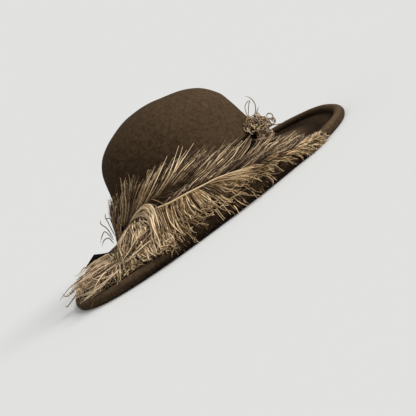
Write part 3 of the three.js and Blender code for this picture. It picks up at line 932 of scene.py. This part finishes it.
def clear_of_felt(points, clearance):
    """Points that lie in the crown, band or brim, moved out to a clearance from it."""
    x, y, z = points[..., 0], points[..., 1], points[..., 2]
    x, y = clear_of_crown(x, y, z, clearance)
    angle = brim_angle(x, y)
    rim_x, rim_y = rim_line(angle, 0)
    from_middle = np.hypot(x, y)
    to_rim = np.hypot(rim_x, rim_y) - from_middle
    half_width = EDGE_WIDTH / 2
    half_height = EDGE_HEIGHT / 2
    middle = half_height - EDGE_DROP + lift_at(angle)
    outside = np.where((to_rim < half_width) & (z < middle), np.maximum(to_rim + clearance, 0), 0)
    grow = 1 + outside / np.maximum(from_middle, 1)
    x = x * grow
    y = y * grow
    to_rim = to_rim - outside
    across = (to_rim - half_width) / (half_width + clearance)
    roll = middle + (half_height + clearance) * np.sqrt(np.maximum(1 - across ** 2, 0))
    foot = CROWN_PROFILE[-1][0]
    share = np.clip((crown_spread(x, y) - foot) / (crown_spread(rim_x, rim_y) - EDGE_WIDTH - foot), 0, 1)
    lowest = np.where(to_rim > half_width, brim_height(share, angle) + clearance, LOWEST)
    lowest = np.where(np.abs(across) < 1, np.maximum(lowest, roll), lowest)
    return np.stack([x, y, np.maximum(z, lowest)], -1)


def guided(guides, at):
    """Middle, tip and turns of the barbs at places along a rachis, from the guides beside them."""
    along_roots, *columns = np.array(guides, float).T
    values = np.stack([np.interp(at, along_roots, column) for column in columns], -1)
    return values[:, :3], values[:, 3:6], values[:, 6]


def rotate(vectors, axis, angle):
    """Vectors turned about unit axes by angles."""
    c = np.cos(angle)[..., None]
    s = np.sin(angle)[..., None]
    dot = np.sum(vectors * axis, axis=-1, keepdims=True)
    return vectors * c + np.cross(axis, vectors) * s + axis * dot * (1 - c)


def along_vane(ends, order):
    """A value at places along a vane, from one number or from a pair for its two ends."""
    return np.interp(order, (0, 1), np.broadcast_to(ends, 2))


def gathered(rng, vane, order, middle, tip):
    """Middles and tips of barbs, drawn towards those of their lock, which drifts, and strayed."""
    count = len(order)
    locks = vane.locks
    stray = vane.stray
    first, last = vane.guides[0][0], vane.guides[-1][0]
    lock = np.minimum((order * locks).astype(int), locks - 1)
    centre = first + (last - first) * (np.arange(locks) + rng.random(locks)) / locks
    lock_middle, lock_tip, _ = guided(vane.guides, centre)
    drift = rng.normal(0, vane.drift, (locks, 3))
    gather = vane.gather * rng.uniform(*GATHER_RANGE, count)[:, None]
    tip = tip + (lock_tip[lock] - tip) * gather + drift[lock] + rng.normal(0, stray, (count, 3))
    middle = middle + (lock_middle[lock] - middle) * gather * MIDDLE_SHARE + MIDDLE_SHARE * drift[lock]
    return middle + rng.normal(0, MIDDLE_SHARE * stray, (count, 3)), tip


def curled(rng, path, share, turn, curl):
    """Paths turned more and more along their way, about axes near to the side."""
    count = len(path)
    turn = turn * rng.uniform(*TURN_RANGE, count) + rng.normal(0, curl, count)
    angle = 2 * math.pi * turn[:, None] * share ** CURL_POWER
    axis = unit(TOWARDS_SIDE + rng.normal(0, AXIS_STRAY, (count, 3)))
    moves = rotate(np.diff(path, axis=1), axis[:, None], angle[:, 1:])
    root = path[:, :1]
    return np.concatenate([root, root + np.cumsum(moves, axis=1)], axis=1)


def waved(rng, path, share, stray):
    """Paths that waver more and more along their way."""
    count = len(path)
    wave = rng.normal(0, WAVE_STRAY * stray, (count, 1, 3)) * share[..., None]
    cycles = rng.uniform(*WAVE_CYCLES, count)[:, None]
    start = rng.uniform(0, 2 * math.pi, count)[:, None]
    return path + wave * np.sin(2 * math.pi * cycles * share + start)[..., None]


def barb_paths(rng, rachis, vane, count, steps):
    """Centre lines of a vane's barbs, how far on top of the others each lies and its place in the vane."""
    roots = vane.roots or rachis
    first, last = vane.guides[0][0], vane.guides[-1][0]
    order = (np.arange(count) + rng.random(count)) / count
    at = first + (last - first) * order
    root = along(roots, at)
    middle, tip, turn = guided(vane.guides, at)
    middle, tip = gathered(rng, vane, order, middle, tip)
    reach = rng.uniform(*vane.reach, count)[:, None]
    middle = root + (middle - root) * reach
    tip = root + (tip - root) * reach
    layer = rng.random(count)
    middle = middle + (layer * LAYER_DEPTH)[:, None] * OUTWARD
    control = 2 * middle - (root + tip) / 2
    share = np.linspace(0, 1, steps)[None, :]
    t = share[..., None]
    path = root[:, None] * (1 - t) ** 2 + control[:, None] * 2 * t * (1 - t) + tip[:, None] * t ** 2
    heading = unit(along(roots, at + HEADING_STEP) - along(roots, at - HEADING_STEP))
    length = np.linalg.norm(tip - root, axis=1)[:, None]
    ahead = along_vane(vane.lead, order) * rng.uniform(*LEAD_RANGE, count)
    lead = heading * length * ahead[:, None]
    path = path + lead[:, None] * 3 * t * (1 - t) * (1 - 2 * t)
    path = curled(rng, path, share, turn, vane.curl)
    path = waved(rng, path, share, vane.stray)
    clearance = BARB_CLEARANCE + LAYER_CLEARANCE * layer
    return clear_of_felt(path, clearance[:, None]), layer, order


def barb_radii(size, steps):
    """Radii along barbs, thin at the root and tapered to the tip."""
    share = np.linspace(0, 1, steps)
    swell = ROOT_RADIUS + SWELL_RADIUS * smooth_step(0, SWELL_END, share)
    return size[:, None] * (swell - TAPER_RADIUS * smooth_step(TAPER_START, 1, share))


def vane_tubes(rng, rachis, vane):
    """Paths, radii, tones, warmth and sides of a vane's strands, and of its fibres."""
    kinds = (
        (vane.strands, STRAND_STEPS, vane.size, STRAND_TONE, STRAND_SIDES),
        (vane.fibres, FIBRE_STEPS, FIBRE_RADIUS * vane.size, FIBRE_PAINTED_SHADE, FIBRE_SIDES),
    )
    groups = []
    for count, steps, size, added_tone, sides in kinds:
        paths, layer, order = barb_paths(rng, rachis, vane, count, steps)
        # Painted shade on the fibres and the under layer, and painted light on the top layer, stand in for
        # shade between the barbs
        tone = along_vane(vane.tone, order) + added_tone + rng.normal(0, TONE_STRAY, count)
        tone = tone + np.where(layer > TOP_LAYER, TOP_LAYER_PAINTED_LIGHT, UNDER_LAYER_PAINTED_SHADE)
        tones = tone[:, None] + ROOT_TONE + TIP_TONE * np.linspace(0, 1, steps)
        sizes = size * rng.uniform(*RADIUS_RANGE, count)
        groups.append((paths, barb_radii(sizes, steps), tones, vane.warmth, sides))
    return groups


def line_tube(points, radii, tone, warmth, sides):
    """The same for one tube through points, clear of the felt."""
    path = clear_of_felt(along(points, np.linspace(0, 1, WISP_STEPS)), WISP_CLEARANCE)
    return path[None], radii, np.full((1, WISP_STEPS), tone), warmth, sides


def loop_tubes(rng, count, line):
    """The same for small open loops that lie at random along a line."""
    centre = along(line, rng.random(count)) + rng.normal(0, LOOP_STRAY, (count, 3))
    axis = unit(TOWARDS_SIDE + rng.normal(0, LOOP_AXIS_STRAY, (count, 3)))
    spoke = unit(np.cross(axis, rng.normal(0, 1, (count, 3))))
    turn = rng.uniform(*LOOP_TURNS, count)[:, None] * 2 * math.pi * np.linspace(0, 1, STRAND_STEPS)
    radius = rng.uniform(*LOOP_RADII, count)[:, None] * np.linspace(*LOOP_WINDING, STRAND_STEPS)
    spokes = rotate(np.repeat(spoke[:, None], STRAND_STEPS, 1), axis[:, None], turn)
    paths = clear_of_felt(centre[:, None] + spokes * radius[..., None], BARB_CLEARANCE)
    tones = np.repeat(rng.uniform(*LOOP_TONES, count)[:, None], STRAND_STEPS, 1)
    sizes = rng.uniform(*LOOP_TUBE_RADII, count)
    return paths, barb_radii(sizes, STRAND_STEPS), tones, WISP_WARMTH, STRAND_SIDES


def make_plume(name, plume, material):
    """A rachis with its barbs as fine tapered tubes."""
    rng = np.random.default_rng(plume["seed"])
    shaft = along(plume["rachis"], np.linspace(0, 1, SHAFT_STEPS))[None] + OUTWARD * plume["lift"]
    radii = np.linspace(plume["shaft"], SHAFT_END_RADIUS * plume["shaft"], SHAFT_STEPS)[None]
    groups = [(shaft, radii, np.full((1, SHAFT_STEPS), SHAFT_TONE), SHAFT_WARMTH, SHAFT_SIDES)]
    for row in plume["vanes"]:
        groups += vane_tubes(rng, plume["rachis"], Vane(*row))
    for wisp in plume.get("wisps", []):
        radii = barb_radii(rng.uniform(*WISP_RADII, 1), WISP_STEPS)
        groups.append(line_tube(wisp, radii, WISP_TONE, WISP_WARMTH, STRAND_SIDES))
    for quill in plume.get("quills", []):
        radii = np.linspace(*QUILL_RADII, WISP_STEPS)[None]
        groups.append(line_tube(quill, radii, QUILL_TONE, SHAFT_WARMTH, SHAFT_SIDES))
    if "loops" in plume:
        groups.append(loop_tubes(rng, plume["loops"], plume["loops_along"]))
    points, faces, tones, warmths = [], [], [], []
    used = 0
    for paths, radii, tone, warmth, sides in groups:
        some_points, some_faces = tubes(paths, radii, sides)
        points.append(some_points)
        faces.append(some_faces + used)
        tones.append(np.repeat(np.clip(tone, 0, 1).ravel(), sides))
        warmths.append(np.full(len(some_points), warmth))
        used += len(some_points)
    values = {"tone": np.concatenate(tones), "warmth": np.concatenate(warmths)}
    piece = mesh_object(f"{name}_barbs", np.vstack(points), np.vstack(faces), material, values)
    dress(piece, name)


def new_material(name, **sockets):
    """A material, its node tree and its shader, with values set on the shader's sockets."""
    material = bpy.data.materials.new(name)
    material.use_nodes = True
    tree = material.node_tree
    shader = tree.nodes["Principled BSDF"]
    for socket, value in sockets.items():
        shader.inputs[socket.replace("_", " ")].default_value = value
    return material, tree, shader


def node(tree, kind, inputs=None, **settings):
    """A shader node with its settings, and its inputs set to values or linked to sockets."""
    made = tree.nodes.new("ShaderNode" + kind)
    for key, value in settings.items():
        setattr(made, key, value)
    for key, value in (inputs or {}).items():
        if isinstance(value, bpy.types.NodeSocket):
            tree.links.new(value, made.inputs[key])
        else:
            made.inputs[key].default_value = value
    return made


def ramp(tree, factor, stops):
    """A colour ramp through (place, colour) stops."""
    made = node(tree, "ValToRGB", {"Fac": factor})
    elements = made.color_ramp.elements
    while len(elements) < len(stops):
        elements.new(0.5)
    for element, (at, colour) in zip(elements, stops):
        element.position = at
        element.color = (*colour, 1)
    return made.outputs["Color"]


def noise(tree, **inputs):
    """Noise in the piece's own coordinates, in metres."""
    where = node(tree, "TexCoord").outputs["Object"]
    return node(tree, "TexNoise", {"Vector": where, **inputs}).outputs["Fac"]


def added(tree, first, second, **settings):
    """The sum of two values."""
    return node(tree, "Math", {0: first, 1: second}, operation="ADD", **settings).outputs[0]


def scaled(tree, value, factor, middle):
    """A value's distance from its middle, times a factor."""
    inputs = {0: value, 1: factor, 2: -factor * middle}
    return node(tree, "Math", inputs, operation="MULTIPLY_ADD").outputs[0]


def bump(tree, shader, height, strength, distance):
    """Roughens the shader's surface, by a distance in metres."""
    made = node(tree, "Bump", {"Height": height, "Strength": strength, "Distance": distance})
    tree.links.new(made.outputs["Normal"], shader.inputs["Normal"])


def felt_material():
    """Brown wool felt: mottled, with fine tangled fibres, and with painted light and shade, paler where
    light falls and darker in shade.
    """
    material, tree, shader = new_material(
        "wool_felt", Roughness=1.0, Sheen_Weight=0.02, Sheen_Roughness=0.5, Specular_IOR_Level=0.02,
    )
    shader.inputs["Sheen Tint"].default_value = FELT_SHEEN
    # Painted light and shade on the felt, from make_felt()
    painted_light_and_shade = node(tree, "Attribute", attribute_name="painted_light_and_shade").outputs["Fac"]
    mottle = noise(tree, Scale=260, Detail=4)
    fibres = noise(tree, Scale=900, Detail=6, Distortion=1.2)
    shifted = scaled(tree, added(tree, mottle, fibres), FELT_MOTTLE, middle=1)
    colour = ramp(tree, added(tree, painted_light_and_shade, shifted, use_clamp=True), FELT_COLOURS)
    tree.links.new(colour, shader.inputs["Base Color"])
    bump(tree, shader, fibres, strength=0.5, distance=0.0005)
    return material


def ribbon_material():
    """Black grosgrain, a little uneven in tone."""
    material, tree, shader = new_material("ribbon", Roughness=0.9, Specular_IOR_Level=0.02)
    uneven = noise(tree, Scale=900, Detail=4)
    tree.links.new(ramp(tree, uneven, RIBBON_COLOURS), shader.inputs["Base Color"])
    bump(tree, shader, uneven, strength=0.3, distance=0.0002)
    return material


def feather_material():
    """Taupe barbs from dark to cream, greyer or more golden by vane."""
    material, tree, shader = new_material("ostrich_feather", Roughness=0.55, Specular_IOR_Level=0.3)
    # The tone holds the painted light and shade of the barbs' layers
    tone = node(tree, "Attribute", attribute_name="tone").outputs["Fac"]
    warmth = node(tree, "Attribute", attribute_name="warmth").outputs["Fac"]
    shifted = scaled(tree, noise(tree, Scale=260, Detail=3), BARB_MOTTLE, middle=0.5)
    colour = ramp(tree, added(tree, tone, shifted, use_clamp=True), BARB_COLOURS)
    inputs = {0: 1.0, 6: colour, 7: ramp(tree, warmth, BARB_TINTS)}
    tinted = node(tree, "Mix", inputs, data_type="RGBA", blend_type="MULTIPLY")
    tree.links.new(tinted.outputs[2], shader.inputs["Base Color"])
    return material


def floor_material():
    """Plain pale paper with a faint tooth."""
    material, tree, shader = new_material("pale_floor", Roughness=1.0, Specular_IOR_Level=0.0)
    shader.inputs["Base Color"].default_value = FLOOR_COLOUR
    tooth = node(tree, "TexNoise", {"Scale": 300}).outputs["Fac"]
    bump(tree, shader, tooth, strength=0.05, distance=0.001)
    return material


def make_camera():
    """The camera at the photograph's angle to the hat."""
    target = Vector(place((0, 0, TARGET_HEIGHT)))
    back = Vector((0, -math.cos(VIEW_ELEVATION), math.sin(VIEW_ELEVATION)))
    data = bpy.data.cameras.new("camera")
    data.sensor_width = SENSOR_WIDTH
    data.lens = SENSOR_WIDTH * VIEW_DISTANCE / VIEW_WIDTH
    data.shift_x = (IMAGE_SIZE / 2 - TARGET_PIXEL[0]) / IMAGE_SIZE
    data.shift_y = (TARGET_PIXEL[1] - IMAGE_SIZE / 2) / IMAGE_SIZE
    camera = bpy.data.objects.new("camera", data)
    camera.location = target + back * VIEW_DISTANCE * MILLIMETRE
    camera.rotation_mode = "QUATERNION"
    camera.rotation_quaternion = (-back).to_track_quat("-Z", "Y") @ Quaternion((0, 0, 1), VIEW_ROLL)
    bpy.context.scene.collection.objects.link(camera)
    bpy.context.scene.camera = camera


def make_light():
    """A broad soft light from above and ahead of the hat, and a pale room."""
    data = bpy.data.lights.new("key", "SUN")
    data.energy = SUN_STRENGTH
    data.angle = SUN_SPREAD
    key = bpy.data.objects.new("key", data)
    key.rotation_mode = "QUATERNION"
    key.rotation_quaternion = SUN_DIRECTION.to_track_quat("Z", "Y")
    bpy.context.scene.collection.objects.link(key)
    world = bpy.data.worlds.new("room")
    world.use_nodes = True
    tree = world.node_tree
    seen = node(tree, "LightPath").outputs["Is Camera Ray"]
    inputs = {0: seen, 1: ROOM_SEEN_MORE, 2: ROOM_STRENGTH}
    strength = node(tree, "Math", inputs, operation="MULTIPLY_ADD").outputs[0]
    background = tree.nodes["Background"]
    background.inputs["Color"].default_value = ROOM_COLOUR
    tree.links.new(strength, background.inputs["Strength"])
    bpy.context.scene.world = world
    bpy.context.scene.view_settings.view_transform = "Standard"


def make_floor(material):
    """A plain pale floor under the rim."""
    corners = FLOOR_HALF_WIDTH * np.array([(-1, -1, 0), (1, -1, 0), (1, 1, 0), (-1, 1, 0)])
    floor = mesh_object("floor", corners, np.array([(0, 1, 2, 3)]), material)


make_camera()
make_light()
make_floor(floor_material())
make_felt(felt_material())
ribbon = ribbon_material()
make_band(ribbon)
make_ribbon_tail(ribbon)
feather = feather_material()
for plume_name, plume_shape in PLUMES.items():
    make_plume(plume_name, plume_shape, feather)
